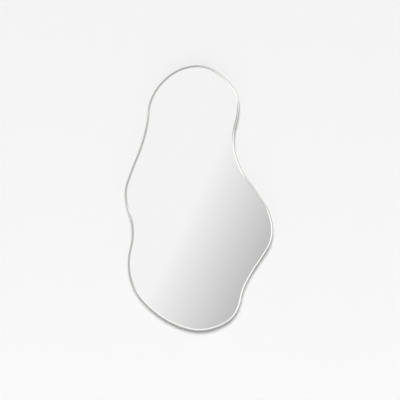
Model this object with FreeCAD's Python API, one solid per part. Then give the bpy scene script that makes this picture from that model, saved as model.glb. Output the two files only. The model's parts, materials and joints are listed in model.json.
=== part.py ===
"""A wall mirror of free, wavy outline in a bent steel rim.

Frame: the front looks along -Y, X runs to the right and Z up. Y = 0 is the wall's surface. The origin
is at the height where the hooks carry the rings, on the line through the mirror's centre of mass.
Everything is in millimetres.
"""
import FreeCAD, Part
import math
import os

from FreeCAD import Vector

# Overall size
WIDTH = 502.0
HEIGHT = 900.0

# The rim's outer edge: where it passes, in widths (x) and heights (z) from the origin, and which way
# it runs there, in degrees from +X towards +Z. It goes anticlockwise, and two tangent arcs join each
# point to the next.
EDGE = [
    (0.536, -0.408, 87),     # right elbow
    (0.373, -0.213, 127),    # right flank
    (0.289, 0.000, 74),      # right waist
    (0.267, 0.141, 129),     # right shoulder
    (0.010, 0.222, 184),     # crown
    (-0.269, 0.119, 240),    # left shoulder
    (-0.331, -0.031, 256),   # left hollow
    (-0.450, -0.216, 251),   # left elbow
    (-0.442, -0.328, 290),   # left waist, above
    (-0.430, -0.466, 255),   # left waist, below
    (-0.365, -0.652, 309),   # left foot
    (-0.028, -0.773, 347),   # base
    (0.225, -0.746, 32),     # right foot
    (0.323, -0.658, 80),     # right foot, above
    (0.444, -0.518, 55),     # right flank, below the elbow
]

# Rim: an L section of polished steel. The lip covers the edge of the glass, the wall its sides.
RIM_SHEET = 1.5          # thickness of the wall
LIP_WIDTH = 7.0
LIP_EDGE = 0.8           # thickness of the lip at its inner edge
LIP_SLOPE = 13.0         # degrees: how steeply the lip's face falls to the glass at that edge
LIP_CROWN = 58.0         # radius of the lip's face, which bulges a little
RIM_CORNER = 2.0         # radius between the wall and the lip's face
RIM_OFF_WALL = 1.5       # from the rim's back edge to the wall

# Layers from the wall forwards
BUMPER_HEIGHT = 8.0
BOARD_THICKNESS = 9.0
TAPE_THICKNESS = 1.0
FILM_THICKNESS = 0.2
GLASS_THICKNESS = 4.0

# Gaps between the rim's wall and the edges of the layers
BOARD_GAP = 1.0
GLASS_GAP = 1.0
FILM_INSET = 3.0         # from the edge of the glass to the edge of the film

# Foam tape: upright strips
TAPE_WIDTH = 25.0
TAPE_COUNT = 5
TAPE_END = 24.0          # from a strip's ends to the film's edge

# Setting blocks: rubber under the glass, between its edge and the rim's wall, on these arcs
BLOCK_ARCS = [20, 23]
BLOCK_LENGTH = 30.0
BLOCK_BELOW_LIP = 0.5    # from the block to the underside of the lip

# Clips: bent steel brackets, each in the middle of an arc of the edge, at an even pitch
CLIP_COUNT = 10
CLIP_SHEET = 1.2
CLIP_WIDTH = 20.0
CLIP_FOOT = 24.0         # from the rim's wall to the end of the foot
CLIP_BEND = 1.0          # radius inside the bend
CLIP_CORNER = 4.0        # radius of the foot's free corners
CLIP_BELOW_RIM = 0.5     # from the end of the leg to the rim's back edge
CLIP_SCREW_IN = 15.0     # from the rim's wall to the screw

# Hangers: a strap folded round a D-shaped ring of wire, left and right
HANGER_X = 100.0
STRAP_SHEET = 1.0
STRAP_WIDTH = 16.0
STRAP_LENGTH = 33.0      # from the ring's axis to the far end
STRAP_SCREWS = [9.5, 23.5]   # from the ring's axis
FOLD_BEND = 2.0          # radius where the upper layer comes down on the lower one
RING_WIRE = 3.0          # diameter
RING_CLEARANCE = 0.08    # between the wire and the fold, all round
RING_WIDTH = 19.0        # inside
RING_SIDE = 4.5          # straight side, from the axis to the start of the bow
RING_CORNER = 2.5        # radius of the wire's centre line
RING_OFF_BOARD = 0.3     # what is left between the bow and the board when the ring leans on it

# Screws: pan heads with a cross recess
SCREW_SHANK = 3.5        # diameter
SCREW_HEAD = 7.0         # diameter
SCREW_HEAD_HEIGHT = 2.2
SCREW_HEAD_RIM = 0.9     # height of the head's upright edge
SCREW_LENGTH = 9.0       # under the head
SCREW_POINT = 2.0        # length of the cone
SCREW_SLOT = 0.9         # width of a recess arm
SCREW_SLOT_LENGTH = 3.8
SCREW_SLOT_DEPTH = 1.2
SCREW_FIT = 0.05         # between a shank and its hole, all round
PILOT_BEYOND = 0.5       # how far a pilot hole runs past the screw's point

# Bumpers: rubber feet stuck to the back of the board, beside the middle of these arcs
BUMPER_ARCS = [9, 6, 20, 24]
BUMPER_IN = 32.0         # from the rim's edge to the bumper's middle
BUMPER_RADIUS = 9.0
BUMPER_CHAMFER = 1.5     # round its end on the wall

STRAIGHT_TURN = 1e-6     # radians: an arc that turns less is a straight line

# Heights above the wall
BOARD_BACK = BUMPER_HEIGHT
BOARD_FRONT = BOARD_BACK + BOARD_THICKNESS
TAPE_FRONT = BOARD_FRONT + TAPE_THICKNESS
FILM_FRONT = TAPE_FRONT + FILM_THICKNESS
GLASS_FRONT = FILM_FRONT + GLASS_THICKNESS


# ---- The outline and what is drawn with it

def heading(degrees):
    """The unit vector that points this many degrees from +X towards +Z."""
    return Vector(math.cos(math.radians(degrees)), 0, math.sin(math.radians(degrees)))


def outward(along):
    """The unit vector square to this one, on the outer side of an anticlockwise edge."""
    return Vector(along.z, 0, -along.x).normalize()


def tangent_arcs():
    """The edge as arcs, each (start, heading there, end, heading there)."""
    arcs = []
    for here, there in zip(EDGE, EDGE[1:] + EDGE[:1]):
        start = Vector(here[0] * WIDTH, 0, here[1] * HEIGHT)
        end = Vector(there[0] * WIDTH, 0, there[1] * HEIGHT)
        leaving, arriving = heading(here[2]), heading(there[2])
        chord = end - start
        spread = 2 * (1 - leaving.dot(arriving))
        along = chord.dot(leaving + arriving)
        reach = chord.dot(chord) / (along + math.sqrt(along ** 2 + spread * chord.dot(chord)))
        first_corner = start + leaving * reach
        second_corner = end - arriving * reach
        meeting = (first_corner + second_corner) / 2
        passing = (second_corner - first_corner).normalize()
        arcs += [(start, leaving, meeting, passing), (meeting, passing, end, arriving)]
    return arcs


ARCS = tangent_arcs()


def arc_middle(arc):
    """The middle of an arc, and the way the edge runs there."""
    start, leaving, end, arriving = arc
    chord = end - start
    turn = math.atan2(leaving.x * arriving.z - leaving.z * arriving.x, leaving.dot(arriving))
    bulge = chord.Length / 2 * math.tan(turn / 4)
    return (start + end) / 2 + outward(chord) * bulge, chord.normalize(), turn


def edge_piece(arc, inset, height):
    """An arc of the edge, moved inwards by inset and forwards from the wall by height."""
    start, leaving, end, arriving = arc
    middle, passing, turn = arc_middle(arc)
    lift = Vector(0, -height, 0)
    first = start - outward(leaving) * inset + lift
    second = middle - outward(passing) * inset + lift
    third = end - outward(arriving) * inset + lift
    if abs(turn) < STRAIGHT_TURN:
        return Part.LineSegment(first, third).toShape()
    return Part.Arc(first, second, third).toShape()


def outline_face(inset, height):
    return Part.Face(Part.Wire([edge_piece(arc, inset, height) for arc in ARCS]))


def layer(inset, back, front):
    """A flat layer of the outline's shape, between two heights above the wall."""
    return outline_face(inset, back).extrude(Vector(0, back - front, 0))


def wire_through(runs, place):
    """A closed wire of lines, with two points each, and arcs, with three."""
    edges = []
    for run in runs:
        points = [place(*point) for point in run]
        if len(points) == 2:
            edges.append(Part.LineSegment(*points).toShape())
        else:
            edges.append(Part.Arc(*points).toShape())
    return Part.Wire(edges)


def on_circle(centre, radius, degrees):
    """The point of a flat circle at this angle."""
    angle = math.radians(degrees)
    return (centre[0] + radius * math.cos(angle), centre[1] + radius * math.sin(angle))


def swept(section, arcs):
    """A section of (distance in from the edge, height above the wall), run along arcs of the edge."""
    start, leaving = arcs[0][0], arcs[0][1]
    profile = wire_through(section, lambda inset, height:
                           start - outward(leaving) * inset - Vector(0, height, 0))
    path = Part.Wire([edge_piece(arc, 0, 0) for arc in arcs])
    return path.makePipeShell([profile], True, True)


def turned(section, centre):
    """A section of (radius, height towards the wall), turned about a line square to the wall."""
    profile = wire_through(section, lambda radius, height: centre + Vector(radius, height, 0))
    return Part.Face(profile).revolve(centre, Vector(0, 1, 0), 360)


def prism_at(arc, runs):
    """A plan of (distance past the arc's middle, distance in from the edge), as a tall prism."""
    middle, along, _ = arc_middle(arc)
    plan = wire_through(runs, lambda side, inset: middle + along * side - outward(along) * inset)
    return Part.Face(plan).extrude(Vector(0, -GLASS_FRONT, 0))


# ---- Rim, glass and layers

def frame_rim():
    """The L section, closed into a ring round the whole edge."""
    lip_edge, lip_seat = (LIP_WIDTH, GLASS_FRONT + LIP_EDGE), (LIP_WIDTH, GLASS_FRONT)
    crown = on_circle(lip_edge, LIP_CROWN, -90 - LIP_SLOPE)
    rise = math.sqrt((LIP_CROWN - RIM_CORNER) ** 2 - (RIM_CORNER - crown[0]) ** 2)
    corner = (RIM_CORNER, crown[1] + rise)
    meeting = math.degrees(math.atan2(rise, corner[0] - crown[0]))
    on_wall, on_lip = (0, corner[1]), on_circle(corner, RIM_CORNER, meeting)
    back_outer, back_inner = (0, RIM_OFF_WALL), (RIM_SHEET, RIM_OFF_WALL)
    inner_corner = (RIM_SHEET, GLASS_FRONT)
    return swept([(back_outer, on_wall),
                  (on_wall, on_circle(corner, RIM_CORNER, (180 + meeting) / 2), on_lip),
                  (on_lip, on_circle(crown, LIP_CROWN, (meeting + 90 - LIP_SLOPE) / 2), lip_edge),
                  (lip_edge, lip_seat), (lip_seat, inner_corner), (inner_corner, back_inner),
                  (back_inner, back_outer)], ARCS)


def mirror_pane():
    return layer(RIM_SHEET + GLASS_GAP, FILM_FRONT, GLASS_FRONT)


def safety_film():
    return layer(RIM_SHEET + GLASS_GAP + FILM_INSET, TAPE_FRONT, FILM_FRONT)


def foam_tapes():
    """Upright strips at an even pitch across the film, each as long as there is room for."""
    room = outline_face(RIM_SHEET + GLASS_GAP + FILM_INSET + TAPE_END, BOARD_FRONT)
    box = room.BoundBox
    pitch = box.XLength / TAPE_COUNT
    strips = []
    for number in range(TAPE_COUNT):
        left = box.XMin + (number + 0.5) * pitch - TAPE_WIDTH / 2
        sides = [longest_run(room, x) for x in (left, left + TAPE_WIDTH)]
        low = max(side.ZMin for side in sides)
        high = min(side.ZMax for side in sides)
        strips.append(Part.makeBox(TAPE_WIDTH, TAPE_THICKNESS, high - low,
                                   Vector(left, -TAPE_FRONT, low)))
    return strips


def longest_run(face, x):
    """The box of the longest upright line that this face has room for at x."""
    box = face.BoundBox
    line = Part.LineSegment(Vector(x, box.YMin, box.ZMin), Vector(x, box.YMin, box.ZMax)).toShape()
    return max(line.common(face).Edges, key=lambda edge: edge.Length).BoundBox


def back_board():
    """Fibre board with a blind pilot hole for every screw."""
    board = layer(RIM_SHEET + BOARD_GAP, BOARD_BACK, BOARD_FRONT)
    holes = []
    for seat in clip_screw_seats() + strap_screw_seats():
        under_head = BOARD_BACK + seat.y
        mouth = Vector(seat.x, -BOARD_BACK, seat.z)
        holes.append(screw_hole(mouth, SCREW_LENGTH - under_head + PILOT_BEYOND))
    return board.cut(Part.makeCompound(holes))


def setting_block(arc):
    """A strip of rubber that follows the rim's wall and carries the glass's edge."""
    near, far = RIM_SHEET, RIM_SHEET + GLASS_GAP
    back, front = FILM_FRONT, GLASS_FRONT - BLOCK_BELOW_LIP
    strip = swept([((near, back), (near, front)), ((near, front), (far, front)),
                   ((far, front), (far, back)), ((far, back), (near, back))], [arc])
    half = BLOCK_LENGTH / 2
    return strip.common(prism_at(arc, [((-half, -half), (half, -half)), ((half, -half), (half, half)),
                                       ((half, half), (-half, half)), ((-half, half), (-half, -half))]))


# ---- Fasteners and feet

def screw(seat):
    """A pan-head screw whose head sits on seat and whose shank runs forwards from the wall."""
    shank, head = SCREW_SHANK / 2, SCREW_HEAD / 2
    dome = SCREW_HEAD_HEIGHT - SCREW_HEAD_RIM
    dome_radius = (head ** 2 + dome ** 2) / (2 * dome)
    dome_centre = (0, SCREW_HEAD_HEIGHT - dome_radius)
    half_angle = math.degrees(math.asin(head / dome_radius)) / 2
    top, edge = (0, SCREW_HEAD_HEIGHT), (head, SCREW_HEAD_RIM)
    tip, cone = (0, -SCREW_LENGTH), (shank, SCREW_POINT - SCREW_LENGTH)
    neck, under = (shank, 0), (head, 0)
    body = turned([(tip, cone), (cone, neck), (neck, under), (under, edge),
                   (edge, on_circle(dome_centre, dome_radius, 90 - half_angle), top), (top, tip)],
                  seat)
    floor = seat + Vector(0, SCREW_HEAD_HEIGHT - SCREW_SLOT_DEPTH, 0)
    half, long = SCREW_SLOT / 2, SCREW_SLOT_LENGTH / 2
    across = Part.makeBox(2 * long, SCREW_SLOT_DEPTH, 2 * half, floor - Vector(long, 0, half))
    upright = Part.makeBox(2 * half, SCREW_SLOT_DEPTH, 2 * long, floor - Vector(half, 0, long))
    return body.cut(across.fuse(upright))


def screw_hole(mouth, depth):
    """The room that a screw's shank takes, forwards from its mouth."""
    return Part.makeCylinder(SCREW_SHANK / 2 + SCREW_FIT, depth, mouth, Vector(0, -1, 0))


def bumper(arc):
    """A round rubber foot with a chamfered end, from the board to the wall."""
    middle, along, _ = arc_middle(arc)
    seat = middle - outward(along) * BUMPER_IN - Vector(0, BOARD_BACK, 0)
    foot = Part.makeCylinder(BUMPER_RADIUS, BUMPER_HEIGHT, seat, Vector(0, 1, 0))
    wall_end = max(foot.Edges, key=lambda edge: edge.BoundBox.YMin)
    return foot.makeChamfer(BUMPER_CHAMFER, [wall_end])


# ---- Clips

def clip_arcs():
    pitch = len(ARCS) / CLIP_COUNT
    return [ARCS[int((number + 0.5) * pitch)] for number in range(CLIP_COUNT)]


def clip(arc):
    """A bracket with its leg on the rim's wall and its foot on the back of the board."""
    wall, inner = RIM_SHEET, RIM_SHEET + CLIP_SHEET
    outer_bend = CLIP_BEND + CLIP_SHEET
    bend_centre = (wall + outer_bend, BOARD_BACK - outer_bend)
    leg_end = RIM_OFF_WALL + CLIP_BELOW_RIM
    foot_end, foot_top = wall + CLIP_FOOT, BOARD_BACK - CLIP_SHEET
    leg_outer, leg_inner = (wall, leg_end), (inner, leg_end)
    bend_wall, bend_board = (wall, bend_centre[1]), (bend_centre[0], BOARD_BACK)
    bend_foot, bend_leg = (bend_centre[0], foot_top), (inner, bend_centre[1])
    strip = swept([(leg_outer, bend_wall),
                   (bend_wall, on_circle(bend_centre, outer_bend, 135), bend_board),
                   (bend_board, (foot_end, BOARD_BACK)),
                   ((foot_end, BOARD_BACK), (foot_end, foot_top)),
                   ((foot_end, foot_top), bend_foot),
                   (bend_foot, on_circle(bend_centre, CLIP_BEND, 135), bend_leg),
                   (bend_leg, leg_inner), (leg_inner, leg_outer)], [arc])
    return strip.common(clip_plan(arc)).cut(screw_hole(clip_screw_place(arc), BOARD_BACK))


def clip_plan(arc):
    """Straight sides, and a free end with rounded corners."""
    half, end, corner = CLIP_WIDTH / 2, RIM_SHEET + CLIP_FOOT, CLIP_CORNER
    left, right = (corner - half, end - corner), (half - corner, end - corner)
    return prism_at(arc, [((-half, -half), (-half, left[1])),
                          ((-half, left[1]), on_circle(left, corner, 135), (left[0], end)),
                          ((left[0], end), (right[0], end)),
                          ((right[0], end), on_circle(right, corner, 45), (half, right[1])),
                          ((half, right[1]), (half, -half)), ((half, -half), (-half, -half))])


def clip_screw_place(arc):
    """Where the line of a clip's screw meets the wall."""
    middle, along, _ = arc_middle(arc)
    return middle - outward(along) * (RIM_SHEET + CLIP_SCREW_IN)


def clip_screw_seats():
    """Where the heads of the clips' screws sit, on the clips' feet."""
    return [clip_screw_place(arc) - Vector(0, BOARD_BACK - CLIP_SHEET, 0) for arc in clip_arcs()]


# ---- Hangers. Heights here are above the back of the board, towards the wall.

BARREL_INSIDE = RING_WIRE / 2 + RING_CLEARANCE
BARREL_OUTSIDE = BARREL_INSIDE + STRAP_SHEET
BOW_RADIUS = (RING_WIDTH + RING_WIRE) / 2
RING_REACH = RING_SIDE + BOW_RADIUS
RING_LEAN = math.asin((BARREL_OUTSIDE - RING_WIRE / 2 - RING_OFF_BOARD) / RING_REACH)
STRAP_TOP = 2 * STRAP_SHEET
AXIS_Z = -(RING_REACH - RING_WIRE / 2) * math.cos(RING_LEAN)


def ring_axis(side):
    """The middle of the ring's hinge, on the left (-1) or the right (1)."""
    return Vector(side * HANGER_X, BARREL_OUTSIDE - BOARD_BACK, AXIS_Z)


def hanger_strap(side):
    """A strip that lies on the board, goes round the wire and comes back flat on top of itself."""
    axis = ring_axis(side)
    barrel = (0, BARREL_OUTSIDE)
    bend_height = STRAP_TOP + FOLD_BEND
    rise = bend_height - BARREL_OUTSIDE
    bend = (-math.sqrt((BARREL_OUTSIDE + FOLD_BEND) ** 2 - rise ** 2), bend_height)
    meeting = math.degrees(math.atan2(rise, bend[0]))
    on_barrel = on_circle(barrel, BARREL_OUTSIDE, meeting)
    bend_end, far = (bend[0], STRAP_TOP), -STRAP_LENGTH
    side_view = wire_through([
        ((far, 0), (0, 0)),
        ((0, 0), on_circle(barrel, BARREL_OUTSIDE, (meeting - 90) / 2), on_barrel),
        (on_barrel, on_circle(bend, FOLD_BEND, (meeting - 270) / 2), bend_end),
        (bend_end, (far, STRAP_TOP)),
        ((far, STRAP_TOP), (far, 0)),
    ], lambda along, height: Vector(axis.x - STRAP_WIDTH / 2, height - BOARD_BACK, axis.z + along))
    strip = Part.Face(side_view).extrude(Vector(STRAP_WIDTH, 0, 0))
    cuts = [Part.makeCylinder(BARREL_INSIDE, STRAP_WIDTH, axis - Vector(STRAP_WIDTH / 2, 0, 0),
                              Vector(1, 0, 0))]
    for seat in strap_screw_seats():
        if seat.x == axis.x:
            cuts.append(screw_hole(Vector(seat.x, 0, seat.z), BOARD_BACK))
    return strip.common(strap_blank(axis)).cut(Part.makeCompound(cuts))


def strap_blank(axis):
    """The strap's plan: straight sides and a round far end."""
    half = STRAP_WIDTH / 2
    low, high = half - STRAP_LENGTH, BARREL_OUTSIDE
    plan = wire_through([((-half, low), (0, -STRAP_LENGTH), (half, low)),
                         ((half, low), (half, high)), ((half, high), (-half, high)),
                         ((-half, high), (-half, low))],
                        lambda across, along: Vector(axis.x + across, -BOARD_BACK, axis.z + along))
    return Part.Face(plan).extrude(Vector(0, BOARD_BACK, 0))


def hanger_ring(side):
    """A closed D of wire, its straight leg on the hinge's axis, leaning on the board."""
    axis = ring_axis(side)
    half, corner = BOW_RADIUS, RING_CORNER
    left, right = (corner - half, corner), (half - corner, corner)
    path = wire_through([((left[0], 0), (right[0], 0)),
                         ((right[0], 0), on_circle(right, corner, -45), (half, corner)),
                         ((half, corner), (half, RING_SIDE)),
                         ((half, RING_SIDE), (0, RING_REACH), (-half, RING_SIDE)),
                         ((-half, RING_SIDE), (-half, corner)),
                         ((-half, corner), on_circle(left, corner, 225), (left[0], 0))],
                        lambda across, along: axis + Vector(across, 0, along))
    section = Part.Wire(Part.makeCircle(RING_WIRE / 2, axis + Vector(left[0], 0, 0), Vector(1, 0, 0)))
    ring = path.makePipeShell([section], True, True)
    return ring.rotate(axis, Vector(1, 0, 0), math.degrees(RING_LEAN))


def strap_screw_seats():
    """Where the heads of the straps' screws sit, on the straps' upper layers."""
    seats = []
    for side in (-1, 1):
        axis = ring_axis(side)
        seats += [Vector(axis.x, STRAP_TOP - BOARD_BACK, axis.z - below) for below in STRAP_SCREWS]
    return seats


# ---- The whole

def build():
    """Every piece by its name."""
    nodes = {
        "frame_rim": frame_rim(),
        "mirror_pane": mirror_pane(),
        "safety_film": safety_film(),
        "back_board": back_board(),
        "clip_screws": Part.makeCompound([screw(seat) for seat in clip_screw_seats()]),
        "hanger_screws": Part.makeCompound([screw(seat) for seat in strap_screw_seats()]),
    }
    for number, strip in enumerate(foam_tapes(), 1):
        nodes[f"foam_tape_{number}"] = strip
    for name, index in zip(("left", "right"), BLOCK_ARCS):
        nodes[f"setting_block_{name}"] = setting_block(ARCS[index])
    for number, arc in enumerate(clip_arcs(), 1):
        nodes[f"clip_{number}"] = clip(arc)
    for number, index in enumerate(BUMPER_ARCS, 1):
        nodes[f"bumper_{number}"] = bumper(ARCS[index])
    for name, side in (("left", -1), ("right", 1)):
        nodes[f"hanger_strap_{name}"] = hanger_strap(side)
        nodes[f"hanger_ring_{name}"] = hanger_ring(side)
    return nodes


os.makedirs("parts", exist_ok=True)
for node_name, shape in build().items():
    shape.exportStep(os.path.join("parts", node_name + ".step"))
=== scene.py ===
import json
import math
import random

import bmesh
import bpy
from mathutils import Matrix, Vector
from mathutils.geometry import tessellate_polygon


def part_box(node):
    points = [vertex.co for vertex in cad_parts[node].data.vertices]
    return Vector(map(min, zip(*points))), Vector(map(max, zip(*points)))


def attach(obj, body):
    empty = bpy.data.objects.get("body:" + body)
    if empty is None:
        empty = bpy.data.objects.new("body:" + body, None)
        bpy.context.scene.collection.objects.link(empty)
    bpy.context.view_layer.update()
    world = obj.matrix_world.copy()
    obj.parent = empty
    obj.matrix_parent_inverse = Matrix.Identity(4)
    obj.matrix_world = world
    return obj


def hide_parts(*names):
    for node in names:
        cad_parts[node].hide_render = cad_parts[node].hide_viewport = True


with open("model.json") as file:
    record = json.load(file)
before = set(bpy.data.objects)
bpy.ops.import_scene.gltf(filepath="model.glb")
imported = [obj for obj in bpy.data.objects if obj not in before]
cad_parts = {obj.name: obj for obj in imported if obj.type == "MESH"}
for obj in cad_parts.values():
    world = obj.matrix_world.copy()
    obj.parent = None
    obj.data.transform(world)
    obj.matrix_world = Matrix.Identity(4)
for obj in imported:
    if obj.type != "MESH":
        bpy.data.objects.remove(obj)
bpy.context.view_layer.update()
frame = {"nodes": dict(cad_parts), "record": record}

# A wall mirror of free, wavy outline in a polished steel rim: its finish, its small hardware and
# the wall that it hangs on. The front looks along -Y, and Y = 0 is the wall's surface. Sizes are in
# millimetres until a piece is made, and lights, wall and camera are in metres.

MM = 0.001
NODES = frame["nodes"]

# ---- The rim's outline and section: the same values as the part's

WIDTH = 502.0
HEIGHT = 900.0
EDGE = [
    (0.536, -0.408, 87), (0.373, -0.213, 127), (0.289, 0.000, 74), (0.267, 0.141, 129),
    (0.010, 0.222, 184), (-0.269, 0.119, 240), (-0.331, -0.031, 256), (-0.450, -0.216, 251),
    (-0.442, -0.328, 290), (-0.430, -0.466, 255), (-0.365, -0.652, 309), (-0.028, -0.773, 347),
    (0.225, -0.746, 32), (0.323, -0.658, 80), (0.444, -0.518, 55),
]
RIM_SHEET = 1.5
LIP_WIDTH = 7.0
LIP_EDGE = 0.8
LIP_SLOPE = 13.0
LIP_CROWN = 58.0
RIM_CORNER = 2.0
RIM_OFF_WALL = 1.5
GLASS_FRONT = 22.2
EDGE_STEP = 2.5          # at most, between two cross-sections of the rim
LIP_STEPS = 12           # facets across the lip's crown
RIM_CORNER_STEPS = 10    # and round the corner between lip and wall
BROKEN_EDGE = 0.25       # radius that polishing leaves on the sheet's edges
STRAIGHT_TURN = 1e-6     # radians: an arc that turns less is a straight line


def heading(degrees):
    """A direction in the mirror's plane, counted from +X towards +Z."""
    return Vector((math.cos(math.radians(degrees)), 0, math.sin(math.radians(degrees))))


def outward(along):
    """Out of the outline, which lies to the right of the way that it runs."""
    return Vector((along.z, 0, -along.x)).normalized()


def tangent_arcs():
    """The outline as arcs, each (start, heading there, end, heading there)."""
    arcs = []
    for here, there in zip(EDGE, EDGE[1:] + EDGE[:1]):
        start = Vector((here[0] * WIDTH, 0, here[1] * HEIGHT))
        end = Vector((there[0] * WIDTH, 0, there[1] * HEIGHT))
        leaving, arriving = heading(here[2]), heading(there[2])
        chord = end - start
        spread = 2 * (1 - leaving.dot(arriving))
        along = chord.dot(leaving + arriving)
        reach = chord.dot(chord) / (along + math.sqrt(along ** 2 + spread * chord.dot(chord)))
        first_corner = start + leaving * reach
        second_corner = end - arriving * reach
        meeting = (first_corner + second_corner) / 2
        passing = (second_corner - first_corner).normalized()
        arcs += [(start, leaving, meeting, passing), (meeting, passing, end, arriving)]
    return arcs


ARCS = tangent_arcs()


def turn_and_length(arc):
    """How far an arc turns, in radians, and its length."""
    start, leaving, end, arriving = arc
    turn = math.atan2(leaving.x * arriving.z - leaving.z * arriving.x, leaving.dot(arriving))
    chord = (end - start).length
    if abs(turn) < STRAIGHT_TURN:
        return turn, chord
    return turn, chord * (turn / 2) / math.sin(turn / 2)


def point_on(arc, distance):
    """The point of an arc this far from its start, and the outward direction there."""
    start, leaving = arc[:2]
    turn, length = turn_and_length(arc)
    swing = turn * distance / length
    along = Vector((leaving.x * math.cos(swing) - leaving.z * math.sin(swing), 0,
                    leaving.x * math.sin(swing) + leaving.z * math.cos(swing)))
    if abs(turn) < STRAIGHT_TURN:
        return start + leaving * distance, outward(along)
    return start + (outward(along) - outward(leaving)) * (length / turn), outward(along)


def edge_points(step):
    """Points round the whole outline, each with its outward direction."""
    points = []
    for arc in ARCS:
        length = turn_and_length(arc)[1]
        count = max(4, math.ceil(length / step))
        points += [point_on(arc, length * i / count) for i in range(count)]
    return points


# ---- Flat drawing

def on_circle(centre, radius, degrees):
    """The point at this distance and angle from the centre."""
    angle = math.radians(degrees)
    return Vector((centre[0] + radius * math.cos(angle), centre[1] + radius * math.sin(angle)))


def bow(centre, radius, first, last, count):
    """Points along an arc, from one angle to another."""
    return [on_circle(centre, radius, first + (last - first) * i / count) for i in range(count + 1)]


HOLD = 0.08              # from a rounded edge to the points that keep the flat beside it flat


def rounded(corners, count=5):
    """A closed polygon of (x, y, radius) with each corner turned into an arc."""
    points = []
    for i, (x, y, radius) in enumerate(corners):
        here = Vector((x, y))
        if radius == 0:
            points.append(here)
            continue
        before = (Vector(corners[i - 1][:2]) - here).normalized()
        after = (Vector(corners[(i + 1) % len(corners)][:2]) - here).normalized()
        half = before.angle(after) / 2
        reach = radius / math.tan(half)
        centre = here + (before + after).normalized() * (radius / math.sin(half))
        first, last = here + before * reach - centre, here + after * reach - centre
        begin = math.degrees(math.atan2(first.y, first.x))
        sweep = math.degrees(math.atan2(first.x * last.y - first.y * last.x, first.dot(last)))
        points += [centre + first + before * HOLD, *bow(centre, radius, begin, begin + sweep, count),
                   centre + last + after * HOLD]
    return points


# ---- Meshes

CREASE = 40              # degrees: a sharper fold between two faces shows as an edge
WELD = 1e-7              # metres between points that become one


def piece(name, points, faces, slot, body):
    """A piece of the object, given in millimetres, with the finish of one of the record's slots."""
    mesh = bpy.data.meshes.new(name)
    mesh.from_pydata([Vector(p) * MM for p in points], [], faces)
    mesh.update()
    check = bmesh.new()
    check.from_mesh(mesh)
    bmesh.ops.remove_doubles(check, verts=check.verts, dist=WELD)
    bmesh.ops.recalc_face_normals(check, faces=check.faces)
    check.to_mesh(mesh)
    check.free()
    mesh.polygons.foreach_set("use_smooth", [True] * len(mesh.polygons))
    mesh.set_sharp_from_angle(angle=math.radians(CREASE))
    made = bpy.data.objects.new(name, mesh)
    made.data.materials.append(FINISHES[slot])
    bpy.context.scene.collection.objects.link(made)
    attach(made, body)
    return made


def grid_faces(rows, columns, closed_rows=True):
    """Quads between rows of points that each close on themselves, as the rows may too."""
    faces = []
    for i in range(rows if closed_rows else rows - 1):
        below, above = i * columns, (i + 1) % rows * columns
        for j in range(columns):
            k = (j + 1) % columns
            faces.append((below + j, above + j, above + k, below + k))
    return faces


# ---- Shader nodes

class Value:
    """What a node puts out. Arithmetic on values adds the Math nodes for it."""

    def __init__(self, nodes, socket):
        self.nodes = nodes
        self.socket = socket

    def _math(self, operation, first, second):
        return self.nodes.add("ShaderNodeMath", {"operation": operation}, {0: first, 1: second})

    def __add__(self, other):
        return self._math("ADD", self, other)

    def __sub__(self, other):
        return self._math("SUBTRACT", self, other)

    def __rsub__(self, other):
        return self._math("SUBTRACT", other, self)

    def __mul__(self, other):
        return self._math("MULTIPLY", self, other)

    __radd__ = __add__
    __rmul__ = __mul__


class Nodes:
    """The node tree of one material, or of the world."""

    def __init__(self, tree):
        self.tree = tree
        tree.nodes.clear()

    def add(self, kind, settings=(), values=(), output=0):
        """A new node with these settings and inputs, as the Value of one of its outputs."""
        node = self.tree.nodes.new(kind)
        for name, value in dict(settings).items():
            if name == "stops":
                self._set_stops(node.color_ramp.elements, value)
            else:
                setattr(node, name, value)
        for name, value in dict(values).items():
            if isinstance(value, Value):
                self.tree.links.new(value.socket, node.inputs[name])
            else:
                node.inputs[name].default_value = value
        return Value(self, node.outputs[output]) if len(node.outputs) else node

    @staticmethod
    def _set_stops(elements, stops):
        while len(elements) < len(stops):
            elements.new(1.0)
        for element, (position, level) in zip(elements, stops):
            element.position = position
            element.color = colour(level)


def colour(level):
    """A grey level, or a colour of three numbers, with full alpha."""
    return (level, level, level, 1) if isinstance(level, (int, float)) else (*level, 1)


def material(name, look):
    """A material whose Principled shader's sockets are what look gives for its nodes."""
    made = bpy.data.materials.new(name)
    made.use_nodes = True
    nodes = Nodes(made.node_tree)
    shader = nodes.add("ShaderNodeBsdfPrincipled", {}, look(nodes))
    nodes.add("ShaderNodeOutputMaterial", {}, {"Surface": shader})
    return made


def spot_of(nodes):
    """Where on the object a point is, in metres."""
    return nodes.add("ShaderNodeTexCoord", output="Object")


def noise(nodes, scale, detail=3.0, rough=0.5, at=None):
    """Soft noise between 0 and 1, with this many waves in a metre."""
    return nodes.add("ShaderNodeTexNoise", {}, {"Vector": at or spot_of(nodes), "Scale": scale,
                                                "Detail": detail, "Roughness": rough})


def mixed(nodes, share, first, second):
    """A colour between two, by a share from 0 to 1."""
    return nodes.add("ShaderNodeMix", {"data_type": "RGBA"}, {0: share, 6: first, 7: second}, output=2)


def rising(nodes, value, low, high):
    """0 below low, 1 above high, and a smooth rise between."""
    return nodes.add("ShaderNodeMapRange", {"interpolation_type": "SMOOTHSTEP"},
                     {"Value": value, "From Min": low, "From Max": high})


def bumped(nodes, height, depth, strength=1.0):
    """A normal for relief whose height, from 0 to 1, stands for this many metres."""
    return nodes.add("ShaderNodeBump", {}, {"Height": height, "Distance": depth, "Strength": strength})


# ---- Finishes

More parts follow.
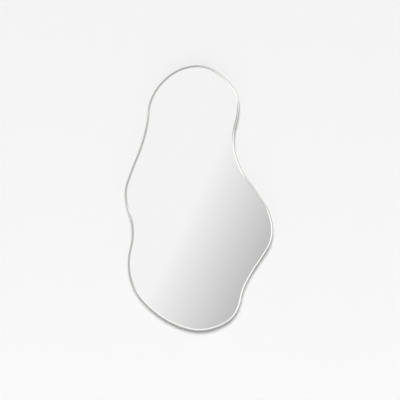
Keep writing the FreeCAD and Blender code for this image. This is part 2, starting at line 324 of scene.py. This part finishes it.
def polished_steel(nodes):
    """Stainless steel, polished by hand: faint clouds, and a few fine wipe marks."""
    tone = noise(nodes, 9.0)
    wipes = noise(nodes, 420.0, 4.0, 0.6)
    return {"Base Color": mixed(nodes, tone, colour((0.655, 0.645, 0.63)), colour((0.63, 0.622, 0.612))),
            "Metallic": 1.0,
            "Roughness": 0.05 + noise(nodes, 38.0) * 0.04 + rising(nodes, wipes, 0.58, 0.72) * 0.06,
            "Normal": bumped(nodes, wipes, 0.00001, 0.25)}


def silvered_glass(nodes):
    """Silver under clear glass: the cut edge looks green, the face a little less than white."""
    facing = nodes.add("ShaderNodeNewGeometry", output="Normal")
    depth = nodes.add("ShaderNodeSeparateXYZ", {}, {0: facing}, output="Y")
    edge = 1 - rising(nodes, depth * depth, 0.3, 0.7)
    haze = noise(nodes, 5.0, 5.0, 0.55)
    face = mixed(nodes, haze, colour((0.885, 0.893, 0.886)), colour((0.893, 0.9, 0.893)))
    return {"Base Color": mixed(nodes, edge, face, colour((0.16, 0.36, 0.29))),
            "Metallic": 1 - edge * 0.8,
            "Roughness": 0.004 + rising(nodes, haze, 0.5, 0.9) * 0.01 + edge * 0.2,
            "Coat Weight": 0.4, "Coat Roughness": 0.01, "Coat IOR": 1.52}


def fibre_board(nodes):
    """Hard-pressed wood fibre: a smooth mottled brown face, with a few darker specks."""
    bundles = noise(nodes, 210.0, 5.0, 0.7)
    dust = noise(nodes, 900.0, 4.0, 0.6)
    clouds = noise(nodes, 14.0, 4.0)
    specks = rising(nodes, noise(nodes, 620.0, 2.0), 0.68, 0.76)
    fibres = bundles * 0.6 + dust * 0.4
    base = mixed(nodes, rising(nodes, fibres, 0.3, 0.7), colour((0.30, 0.185, 0.098)),
                 colour((0.47, 0.315, 0.185)))
    base = mixed(nodes, clouds * 0.35, base, colour((0.38, 0.25, 0.15)))
    base = mixed(nodes, specks * 0.7, base, colour((0.14, 0.08, 0.04)))
    return {"Base Color": base, "Roughness": 0.62 + fibres * 0.25,
            "Normal": bumped(nodes, fibres, 0.00012, 0.6)}


def zinc(nodes, bright, tint):
    """Zinc plating: fine crystals, a little colour from its passivation, and duller patches."""
    crystals = nodes.add("ShaderNodeTexVoronoi", {"feature": "F1"},
                         {"Vector": spot_of(nodes), "Scale": 700.0}, output="Color")
    grain = nodes.add("ShaderNodeSeparateColor", {}, {0: crystals})
    patches = noise(nodes, 85.0, 4.0)
    base = mixed(nodes, grain * 0.35, colour(bright), colour(tint))
    base = mixed(nodes, rising(nodes, patches, 0.45, 0.75) * 0.5, base, colour(tint))
    return {"Base Color": base, "Metallic": 1.0, "Roughness": 0.26 + patches * 0.2,
            "Normal": bumped(nodes, noise(nodes, 2400.0, 3.0), 0.00001, 0.5)}


def nickel(nodes):
    """Nickel plating: warm, bright and smooth, with duller patches."""
    patches = noise(nodes, 60.0, 4.0)
    base = mixed(nodes, patches, colour((0.79, 0.755, 0.69)), colour((0.70, 0.66, 0.60)))
    return {"Base Color": base, "Metallic": 1.0, "Roughness": 0.13 + patches * 0.14,
            "Normal": bumped(nodes, noise(nodes, 1700.0, 3.0), 0.00001, 0.4)}


def rubber(nodes, dark, pale):
    """Moulded rubber: a fine grain, and dust that has settled in patches."""
    grain = noise(nodes, 1500.0, 4.0)
    dust = rising(nodes, noise(nodes, 90.0, 4.0), 0.5, 0.8)
    return {"Base Color": mixed(nodes, dust * 0.5, colour(dark), colour(pale)),
            "Roughness": 0.55 + grain * 0.3, "Normal": bumped(nodes, grain, 0.00004, 0.5)}


def foam(nodes):
    """Foam tape, with cells a little over half a millimetre across."""
    cells = nodes.add("ShaderNodeTexVoronoi", {"feature": "F1"},
                      {"Vector": spot_of(nodes), "Scale": 1600.0}, output="Distance")
    return {"Base Color": mixed(nodes, cells, colour((0.80, 0.80, 0.78)), colour((0.62, 0.62, 0.60))),
            "Roughness": 0.9, "Normal": bumped(nodes, cells, 0.0002, 0.8)}


def plastic_film(nodes):
    """Thin blue film with a few soft wrinkles."""
    wrinkles = noise(nodes, 26.0, 4.0)
    return {"Base Color": mixed(nodes, wrinkles, colour((0.36, 0.46, 0.56)), colour((0.42, 0.52, 0.62))),
            "Roughness": 0.25 + wrinkles * 0.2, "Normal": bumped(nodes, wrinkles, 0.0004, 0.4)}


FINISHES = {
    "rim_steel": material("polished_steel", polished_steel),
    "silvered_glass": material("silvered_glass", silvered_glass),
    "fibre_board": material("fibre_board", fibre_board),
    "clip_steel": material("clip_zinc", lambda n: zinc(n, (0.74, 0.75, 0.76), (0.56, 0.57, 0.60))),
    "screw_steel": material("screw_zinc", lambda n: zinc(n, (0.80, 0.79, 0.76), (0.64, 0.60, 0.50))),
    "hanger_steel": material("strap_nickel", nickel),
    "ring_wire": material("ring_nickel", nickel),
    "bumper_rubber": material("bumper_rubber", lambda n: rubber(n, (0.028, 0.028, 0.03), (0.10, 0.10, 0.10))),
    "block_rubber": material("block_rubber", lambda n: rubber(n, (0.02, 0.02, 0.02), (0.06, 0.06, 0.06))),
    "foam": material("foam", foam),
    "film": material("film", plastic_film),
}


def finish_nodes():
    """Every carried-over piece gets the finish of its own material slot."""
    for part in frame["record"]["subparts"]:
        node = NODES[part["node"]]
        node.data.materials.clear()
        node.data.materials.append(FINISHES[part["material_slot"]])


# ---- Rim

def rim():
    """The polished L section, closed round the outline."""
    lip_edge = Vector((LIP_WIDTH, GLASS_FRONT + LIP_EDGE))
    crown = on_circle(lip_edge, LIP_CROWN, -90 - LIP_SLOPE)
    rise = math.sqrt((LIP_CROWN - RIM_CORNER) ** 2 - (RIM_CORNER - crown.x) ** 2)
    corner = (RIM_CORNER, crown.y + rise)
    meeting = math.degrees(math.atan2(rise, RIM_CORNER - crown.x))
    rounding = math.degrees(2 * BROKEN_EDGE / LIP_CROWN)
    face = bow(crown, LIP_CROWN, meeting, 90 - LIP_SLOPE + rounding, LIP_STEPS)
    turn = bow(corner, RIM_CORNER, 180, meeting, RIM_CORNER_STEPS)
    section = rounded([(0, RIM_OFF_WALL, BROKEN_EDGE), (0, corner[1], 0),
                       *[(*spot, 0) for spot in turn[1:]], *[(*spot, 0) for spot in face[1:]],
                       (*lip_edge, BROKEN_EDGE), (LIP_WIDTH, GLASS_FRONT, BROKEN_EDGE),
                       (RIM_SHEET, GLASS_FRONT, 0), (RIM_SHEET, RIM_OFF_WALL, BROKEN_EDGE)])
    edge = edge_points(EDGE_STEP)
    points = [spot - normal * inset - Vector((0, height, 0))
              for spot, normal in edge for inset, height in section]
    made = piece("polished_rim", points, grid_faces(len(edge), len(section)), "rim_steel", "mirror")
    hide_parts("frame_rim")


# ---- Clips and hanger straps: the part's sizes, with the sheet's edges rounded

SHEET_EDGE = 0.2         # radius that stamping leaves along a strip's edges
SHEET_EDGE_LEAST = 0.01  # the same, at a strip's very ends
SHEET_EDGE_STEPS = 2     # facets round each edge
SHEET_END_TURNS = (0, 30, 60)    # degrees at which a rounded end has cross-sections
BOARD_BACK = 8.0
CLIP_COUNT = 10
CLIP_SHEET = 1.2
CLIP_WIDTH = 20.0        # along the rim
CLIP_FOOT = 24.0         # from the rim's wall to the end of the foot
CLIP_BEND = 1.0          # radius inside the bend
CLIP_CORNER = 4.0        # radius of the foot's corners
CLIP_BELOW_RIM = 0.5     # how far short of the rim's back edge the leg ends
CLIP_SCREW_IN = 15.0     # from the inside of the rim's wall to the screw
CLIP_TURN_STEP = 10      # degrees between cross-sections in the bend and round the corners
STRAP_SHEET = 1.0
STRAP_SEAM = 0.02        # air between the two layers of a folded strap
STRAP_WIDTH = 16.0
STRAP_LENGTH = 33.0      # from the ring's axis to the far end
STRAP_SCREWS = [9.5, 23.5]       # how far below the ring's axis
STRAP_END_TURNS = range(8, 91, 9)    # degrees round the far end, from near its tip
FOLD_BEND = 2.0          # radius inside the bend where the strap comes back down
FOLD_STEPS = 24          # cross-sections round the wire
RETURN_STEPS = 8         # and in the bend after it
BARREL_OUTSIDE = 2.58    # radius outside the fold round the wire


def bent_strip(name, rows, sheet, place, slot):
    """A strip of sheet metal with rounded edges.

    Each row is (x, y, heading, half width) on the sheet's middle line, and place turns
    (across, x, y) into a point of the object.
    """
    def end_rows(row, towards_strip):
        for degrees in SHEET_END_TURNS:
            inwards = SHEET_EDGE * (1 - math.cos(math.radians(degrees)))
            less = SHEET_EDGE * (1 - math.sin(math.radians(degrees)))
            spot = on_circle(row[:2], inwards * towards_strip, row[2])
            yield (*spot, row[2], row[3], less)

    shaped = [*end_rows(rows[0], 1), *[(*row, 0) for row in rows[1:-1]],
              *reversed(list(end_rows(rows[-1], -1)))]
    points = []
    for x, y, towards, half, less in shaped:
        wide, thick, radius = half - less, sheet / 2 - less, max(SHEET_EDGE - less, SHEET_EDGE_LEAST)
        corners = [(-wide, -thick, radius), (wide, -thick, radius),
                   (wide, thick, radius), (-wide, thick, radius)]
        for across, off in rounded(corners, SHEET_EDGE_STEPS):
            points.append(place(across, *on_circle((x, y), off, towards + 90)))
    count = len(points) // len(shaped)
    last = len(points) - count
    faces = grid_faces(len(shaped), count, closed_rows=False)
    faces += [tuple(range(count)), tuple(range(last, last + count))]
    return piece(name, points, faces, slot, "mirror")


def clip(number, arc):
    """A bracket with its leg on the rim's wall and its foot on the back of the board."""
    outer_bend = CLIP_BEND + CLIP_SHEET
    bend = (RIM_SHEET + outer_bend, BOARD_BACK - outer_bend)
    half, foot_end = CLIP_WIDTH / 2, RIM_SHEET + CLIP_FOOT
    leg, leg_end = RIM_SHEET + CLIP_SHEET / 2, RIM_OFF_WALL + CLIP_BELOW_RIM
    foot_height = BOARD_BACK - CLIP_SHEET / 2
    corner = (foot_end - CLIP_CORNER, half - CLIP_CORNER)
    rows = [(leg, leg_end, 90, half), (leg, leg_end + SHEET_EDGE, 90, half)]
    rows += [(*on_circle(bend, CLIP_BEND + CLIP_SHEET / 2, degrees), degrees - 90, half)
             for degrees in range(180, 89, -CLIP_TURN_STEP)]
    for degrees in range(90, -1, -CLIP_TURN_STEP):
        out = on_circle(corner, CLIP_CORNER, degrees)
        rows.append((out.x, foot_height, 0, out.y))
    turn, length = turn_and_length(arc)
    middle, normal = point_on(arc, length / 2)
    along = Vector((-normal.z, 0, normal.x))

    def place(across, inset, height):
        beside = across
        if abs(turn) > STRAIGHT_TURN:
            radius = length / turn
            beside = radius * math.asin(across / (radius - RIM_SHEET))
        spot, out = point_on(arc, length / 2 + beside)
        flat_share = min(1, max(0, (inset - bend[0]) / (foot_end - bend[0])))
        curved = spot - out * inset
        straight = middle + along * across - normal * inset
        return curved.lerp(straight, flat_share) - Vector((0, height, 0))

    made = bent_strip(f"clip_bracket_{number}", rows, CLIP_SHEET, place, "clip_steel")
    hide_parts(f"clip_{number}")


def clip_arcs():
    """The arcs of the outline that have a clip in their middle."""
    pitch = len(ARCS) / CLIP_COUNT
    return [ARCS[int((number + 0.5) * pitch)] for number in range(CLIP_COUNT)]


def hanger_axes():
    """The middle of each ring's hinge, in millimetres, by the side it is on."""
    joints = frame["record"]["behaviour"]["joints"]
    return {joint["child"].removeprefix("ring_"): Vector(joint["pos_m"]) / MM for joint in joints}


def hanger_strap(side, axis):
    """A strip that lies on the board, goes round the wire and comes back on top of itself."""
    half = STRAP_WIDTH / 2
    low, high = STRAP_SHEET / 2, STRAP_SHEET * 1.5
    round_end = [on_circle((half - STRAP_LENGTH, 0), half, 180 - degrees)
                 for degrees in STRAP_END_TURNS]
    barrel, middle = (0, BARREL_OUTSIDE), BARREL_OUTSIDE - STRAP_SHEET / 2
    bend_height = 2 * STRAP_SHEET + FOLD_BEND
    rise = bend_height - BARREL_OUTSIDE
    bend = (-math.sqrt((BARREL_OUTSIDE + FOLD_BEND) ** 2 - rise ** 2), bend_height)
    meeting = math.degrees(math.atan2(rise, bend[0]))
    rows = [(out.x, low, 0, out.y) for out in round_end]
    for i in range(FOLD_STEPS + 1):
        degrees = -90 + (meeting + 90) * i / FOLD_STEPS
        rows.append((*on_circle(barrel, middle, degrees), degrees + 90, half))
    for i in range(1, RETURN_STEPS + 1):
        degrees = meeting - 180 + (90 - meeting) * i / RETURN_STEPS
        rows.append((*on_circle(bend, FOLD_BEND + STRAP_SHEET / 2, degrees), degrees + 270, half))
    rows += [(out.x, high, 180, out.y) for out in reversed(round_end)]

    def place(across, along, height):
        return Vector((axis.x + across, height - BOARD_BACK, axis.z + along))

    made = bent_strip(f"folded_strap_{side}", rows, STRAP_SHEET - STRAP_SEAM, place, "hanger_steel")
    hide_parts(f"hanger_strap_{side}")


# ---- Screws and feet: the part's sizes, with rounded edges, recesses and dished ends

SCREW_SHANK = 3.5        # diameter
SCREW_HEAD = 7.0         # diameter
SCREW_HEAD_HEIGHT = 2.2
SCREW_HEAD_RIM = 0.9     # height of the head's upright side
SCREW_HEAD_EDGE = 0.15   # what is broken off under the head
SCREW_HEAD_ROUND = [(0, 0.25), (0.03, 0.1)]   # (inwards, down) from where side and dome meet
SCREW_LENGTH = 9.0
SCREW_POINT = 2.0        # length of the cone at its end
DOME_RADII = (3.4, 3.2, 2.9, 2.6, 2.1)   # where the head's dome has a ring of points
RECESS_ARM = 0.9
RECESS_LENGTH = 3.8
RECESS_DEPTH = 1.2
RECESS_TAPER = 0.6       # of the recess's size at its floor
SCREW_SEED = 11          # for the angles that the screws are turned home at
TURN_COUNT = 40          # sides of a turned piece
BUMPER_COUNT = 4
BUMPER_RADIUS = 9.0
BUMPER_ROUND = 1.5       # radius round the wall end
BUMPER_ROUND_STEPS = 6
BUMPER_FOOT = 0.4        # chamfer round the end on the board
BUMPER_DISH = (5.0, 0.5)         # radius and depth of the hollow in the wall end
DISH_HOLD = 0.3          # from the hollow to the points that keep the flat round it flat
DISH_STEPS = 8


def turned(profile, seat):
    """Points of a body turned about the Y axis, from a profile of (radius, height above seat)."""
    return [seat + Vector((*on_circle((0, 0), radius, 360 * i / TURN_COUNT), height)).xzy
            for radius, height in profile for i in range(TURN_COUNT)]


def dome_height(radius):
    """How high a screw head's dome is above its seat, this far from the middle."""
    head, dome = SCREW_HEAD / 2, SCREW_HEAD_HEIGHT - SCREW_HEAD_RIM
    dome_radius = (head ** 2 + dome ** 2) / (2 * dome)
    return SCREW_HEAD_HEIGHT - dome_radius + math.sqrt(dome_radius ** 2 - radius ** 2)


def screw_profile():
    """From the point, up the shank and round the head, to the dome's innermost ring."""
    shank, head = SCREW_SHANK / 2, SCREW_HEAD / 2
    return [(0, -SCREW_LENGTH), (shank, SCREW_POINT - SCREW_LENGTH), (shank, 0),
            (head - SCREW_HEAD_EDGE, 0), (head, SCREW_HEAD_EDGE),
            *[(head - inwards, SCREW_HEAD_RIM - down) for inwards, down in SCREW_HEAD_ROUND],
            *[(radius, dome_height(radius)) for radius in DOME_RADII]]


def recess_mouth(angle):
    """The outline of a cross recess, turned by this angle."""
    arm, long = RECESS_ARM / 2, RECESS_LENGTH / 2
    cross, quarter = [], [Vector((long, arm)), Vector((arm, arm)), Vector((arm, long))]
    for _ in range(4):
        cross += quarter
        quarter = [Vector((-spot.y, spot.x)) for spot in quarter]
    return [Vector((spot.x * math.cos(angle) - spot.y * math.sin(angle),
                    spot.x * math.sin(angle) + spot.y * math.cos(angle))) for spot in cross]


def screws(name, seats, angles, node):
    """Pan-head screws with a tapered cross recess, each turned home at its own angle."""
    profile = screw_profile()
    body_faces = grid_faces(len(profile), TURN_COUNT, closed_rows=False)
    ring = [on_circle((0, 0), DOME_RADII[-1], 360 * i / TURN_COUNT) for i in range(TURN_COUNT)]
    points, faces = [], []
    for seat, angle in zip(seats, angles):
        first = len(points)
        points += turned(profile, seat)
        faces += [tuple(first + corner for corner in face) for face in body_faces]
        mouth = recess_mouth(angle)
        on_dome, count = len(points), len(mouth)
        points += [seat + Vector((spot.x, dome_height(spot.length), spot.y)) for spot in mouth]
        points += [seat + Vector((spot.x * RECESS_TAPER, SCREW_HEAD_HEIGHT - RECESS_DEPTH,
                                  spot.y * RECESS_TAPER)) for spot in mouth]
        flat = [[Vector((*spot, 0)) for spot in outline] for outline in (ring, mouth)]
        places = range(on_dome - TURN_COUNT, on_dome + count)
        faces += [tuple(places[corner] for corner in face) for face in tessellate_polygon(flat)]
        on_floor = on_dome + count
        for i in range(count):
            after = (i + 1) % count
            faces.append((on_dome + i, on_dome + after, on_floor + after, on_floor + i))
        faces.append(tuple(range(on_floor, on_floor + count)))
    made = piece(name, points, faces, "screw_steel", "mirror")
    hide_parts(node)


def bumper(number):
    """A moulded rubber foot, dished where it rests on the wall."""
    low, high = (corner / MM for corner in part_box(f"bumper_{number}"))
    seat = Vector(((low.x + high.x) / 2, low.y, (low.z + high.z) / 2))
    tall, (dish, deep) = high.y - low.y, BUMPER_DISH
    rounding = bow((BUMPER_RADIUS - BUMPER_ROUND, tall - BUMPER_ROUND), BUMPER_ROUND, 0, 90,
                   BUMPER_ROUND_STEPS)
    shares = [i / DISH_STEPS for i in range(DISH_STEPS + 1)]
    hollow = [(dish * (1 - share), tall - deep * math.sin(math.pi / 2 * share) ** 2)
              for share in shares]
    profile = [(0, 0), (BUMPER_RADIUS - BUMPER_FOOT, 0), (BUMPER_RADIUS, BUMPER_FOOT), *rounding,
               (dish + DISH_HOLD, tall), *hollow]
    faces = grid_faces(len(profile), TURN_COUNT, closed_rows=False)
    made = piece(f"rubber_foot_{number}", turned(profile, seat), faces, "bumper_rubber", "mirror")
    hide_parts(f"bumper_{number}")


def hardware():
    """The clips, straps, screws and feet of the back."""
    spin = random.Random(SCREW_SEED)
    clip_seats, strap_seats = [], []
    for number, arc in enumerate(clip_arcs(), 1):
        clip(number, arc)
        middle, normal = point_on(arc, turn_and_length(arc)[1] / 2)
        clip_seats.append(middle - normal * (RIM_SHEET + CLIP_SCREW_IN)
                          - Vector((0, BOARD_BACK - CLIP_SHEET, 0)))
    for side, axis in hanger_axes().items():
        hanger_strap(side, axis)
        strap_seats += [Vector((axis.x, 2 * STRAP_SHEET - BOARD_BACK, axis.z - below))
                        for below in STRAP_SCREWS]
    for name, seats, node in (("clip_pan_screws", clip_seats, "clip_screws"),
                              ("strap_pan_screws", strap_seats, "hanger_screws")):
        screws(name, seats, [spin.uniform(0, math.pi / 2) for _ in seats], node)
    for number in range(1, BUMPER_COUNT + 1):
        bumper(number)


# ---- Wall, floor, light and camera

WALL_COLOUR = 0.92
WALL_REACH = 4.0
WALL_BEHIND = 0.0002     # from the bumpers' ends to the wall, so that the two don't fight
WALL_STEP = 8.0          # between the points round the opening, in millimetres
HOLE_INSET = 2.0         # from the rim's edge to the opening behind the mirror, in millimetres
WALL_MIDDLE = Vector((0, 0, -0.25))
FLOOR_Z = -2.4
FLOOR_FRONT = -3.5
FLOOR_COLOUR = 0.75
STAGE_MOTTLE = 0.998     # how much the paint's darker patches keep of its level


def one_sided(nodes, base):
    """Matt paint that can't be seen from behind."""
    paint = nodes.add("ShaderNodeBsdfDiffuse", {}, {"Color": base, "Roughness": 0.0})
    behind = nodes.add("ShaderNodeNewGeometry", output="Backfacing")
    clear = nodes.add("ShaderNodeBsdfTransparent")
    return nodes.add("ShaderNodeMixShader", {}, {0: behind, 1: paint, 2: clear})


def stage_paint(name, level):
    """Nearly even grey paint for the wall or the floor."""
    made = bpy.data.materials.new(name)
    made.use_nodes = True
    nodes = Nodes(made.node_tree)
    tone = mixed(nodes, noise(nodes, 2.0), colour(level), colour(level * STAGE_MOTTLE))
    nodes.add("ShaderNodeOutputMaterial", {}, {"Surface": one_sided(nodes, tone)})
    return made


def backdrop(name, points, faces, level):
    """A surface round the mirror that is no part of it, given in metres."""
    mesh = bpy.data.meshes.new(name)
    mesh.from_pydata(points, [], faces)
    made = bpy.data.objects.new(name, mesh)
    made.data.materials.append(stage_paint(name, level))
    bpy.context.scene.collection.objects.link(made)


def wall():
    """A wall with an opening that the mirror hides, so that light also reaches the mirror's back."""
    rim_side, far_side = [], []
    for spot, normal in edge_points(WALL_STEP):
        near = (spot - normal * HOLE_INSET) * MM
        ray = (near - WALL_MIDDLE).normalized()
        rim_side.append(near + Vector((0, WALL_BEHIND, 0)))
        far_side.append(WALL_MIDDLE + ray * WALL_REACH + Vector((0, WALL_BEHIND, 0)))
    count = len(rim_side)
    faces = [(i, count + i, count + (i + 1) % count, (i + 1) % count) for i in range(count)]
    backdrop("wall", rim_side + far_side, faces, WALL_COLOUR)


def floor():
    """A floor well below the mirror."""
    corners = [(-WALL_REACH, FLOOR_FRONT), (WALL_REACH, FLOOR_FRONT), (WALL_REACH, WALL_REACH),
               (-WALL_REACH, WALL_REACH)]
    backdrop("floor", [(x, y, FLOOR_Z) for x, y in corners], [(0, 1, 2, 3)], FLOOR_COLOUR)


def sun(name, towards, power, spread):
    """A distant lamp that polished faces don't show."""
    lamp = bpy.data.lights.new(name, "SUN")
    lamp.energy = power
    lamp.angle = math.radians(spread)
    made = bpy.data.objects.new(name, lamp)
    made.rotation_euler = Vector(towards).to_track_quat("-Z", "Y").to_euler()
    made.visible_glossy = False
    bpy.context.scene.collection.objects.link(made)


AMBIENT = 0.25           # strength of the even light from all round
KEY = 0.675              # what the key light adds on the wall, from above and in front
KEY_TOWARDS = (0.05, 1, -0.57)
KEY_SPREAD = 28          # degrees across the lamp, which makes its shadows soft
REAR = 0.5               # strength of the lamp behind the wall
REAR_TOWARDS = (0.5, -1, -0.7)
REAR_SPREAD = 40
BACKGROUND = 0.92        # what the camera sees past the wall and the floor

# The studio as polished faces see it. Every axis is (right, back, up), and a direction's place
# along it, or away from the Y axis, is given as a sine.
SCREEN_AXIS = (0.898, 0, -0.44)      # the screen in front, which the glass shows, darkens this way
SCREEN = [(-0.5, 1.0), (-0.005, 1.0), (0.09, 0.58), (0.125, 0.51), (0.5, 0.51)]
SCREEN_END = (0.17, 0.24)            # how far out the screen gives way to the soft box round it
BOX_AXIS = (0.45, 0, -0.893)         # the soft box is white at the top and left
BOX = [(-0.5, 1.68), (0.0, 1.68), (0.10, 0.80), (0.5, 0.80)]
FLAG_AXIS = (-0.7, 0, 0.7)           # a grey flag cuts off the box's upper left corner
FLAG = [(0.0, 0.0), (0.275, 0.0), (0.345, 1.0), (1.0, 1.0)]
FLAG_LEVEL = 0.5
BOX_END = (0.45, 0.62)               # how far out the soft box gives way to the grey room
REAR_DIMMER = 0.5                    # how much darker the studio is behind the wall
REAR_START = (0.0, 0.3)              # over which directions, as shares towards +Y, it gets darker
ROOM_AXIS = (0.35, 0, 0.94)          # the room is darkest below and to the left
ROOM = [(-1.0, 0.0), (-0.85, 0.02), (-0.5, 0.33), (0.0, 0.45), (1.0, 0.60)]


def ramp(nodes, value, stops):
    """A grey level that follows a value through these (value, level) stops."""
    low, high = stops[0][0], stops[-1][0]
    brightest = max(level for _, level in stops)
    share = nodes.add("ShaderNodeMapRange", {}, {"Value": value, "From Min": low, "From Max": high})
    placed = [((at - low) / (high - low), level / brightest) for at, level in stops]
    return nodes.add("ShaderNodeValToRGB", {"stops": placed}, {0: share}) * brightest


def studio(nodes):
    """The light that comes back from each direction to a polished face."""
    ray = nodes.add("ShaderNodeTexCoord", output="Generated")
    right, back, up = (nodes.add("ShaderNodeSeparateXYZ", {}, {0: ray}, output=axis) for axis in "XYZ")
    off_axis = right * right + up * up
    screen_side, box_side, flag_side, room_side = (
        nodes.add("ShaderNodeVectorMath", {"operation": "DOT_PRODUCT"}, {0: ray, 1: axis}, output="Value")
        for axis in (SCREEN_AXIS, BOX_AXIS, FLAG_AXIS, ROOM_AXIS))
    past_screen, past_box = (rising(nodes, off_axis, near ** 2, far ** 2)
                             for near, far in (SCREEN_END, BOX_END))
    level = ramp(nodes, screen_side, SCREEN)
    box = ramp(nodes, box_side, BOX)
    box = box + (FLAG_LEVEL - box) * ramp(nodes, flag_side, FLAG)
    level = level + (box - level) * past_screen
    level = level + (ramp(nodes, room_side, ROOM) - level) * past_box
    return level * (1 - rising(nodes, back, *REAR_START) * REAR_DIMMER)


def lights():
    """A soft key light, a lamp for the mirror's back, and the studio all round."""
    towards = Vector(KEY_TOWARDS).normalized()
    sun("key", KEY_TOWARDS, KEY * math.pi / towards.y, KEY_SPREAD)
    sun("rear", REAR_TOWARDS, REAR * math.pi, REAR_SPREAD)
    world = bpy.data.worlds.new("studio")
    world.use_nodes = True
    bpy.context.scene.world = world
    nodes = Nodes(world.node_tree)
    seen = {kind: nodes.add("ShaderNodeLightPath", output=kind)
            for kind in ("Is Camera Ray", "Is Glossy Ray", "Is Transmission Ray")}
    shown = studio(nodes) * (1 - seen["Is Camera Ray"]) + seen["Is Camera Ray"] * BACKGROUND
    any_seen = nodes.add("ShaderNodeMath", {"operation": "ADD", "use_clamp": True},
                         {0: seen["Is Camera Ray"] + seen["Is Glossy Ray"],
                          1: seen["Is Transmission Ray"]})
    soft = nodes.add("ShaderNodeBackground", {}, {"Color": colour(1.0), "Strength": AMBIENT})
    seen_light = nodes.add("ShaderNodeBackground", {}, {"Color": colour(1.0), "Strength": shown})
    both = nodes.add("ShaderNodeMixShader", {}, {0: any_seen, 1: soft, 2: seen_light})
    nodes.add("ShaderNodeOutputWorld", {}, {"Surface": both})


CAMERA_AT = (0.0218, -3.024, -0.2562)
FRAME_WIDTH = 1.3538     # metres across the picture, at the rim's front
SENSOR = 36.0


def camera():
    """The view straight from the front, nearly level with the mirror's middle."""
    made = bpy.data.cameras.new("camera")
    made.sensor_width = SENSOR
    made.lens = SENSOR * (-CAMERA_AT[1] - GLASS_FRONT * MM) / FRAME_WIDTH
    holder = bpy.data.objects.new("camera", made)
    holder.location = CAMERA_AT
    holder.rotation_euler = (math.radians(90), 0, 0)
    bpy.context.scene.collection.objects.link(holder)
    bpy.context.scene.camera = holder


camera()
finish_nodes()
rim()
hardware()
wall()
floor()
lights()
bpy.context.scene.view_settings.view_transform = "Standard"
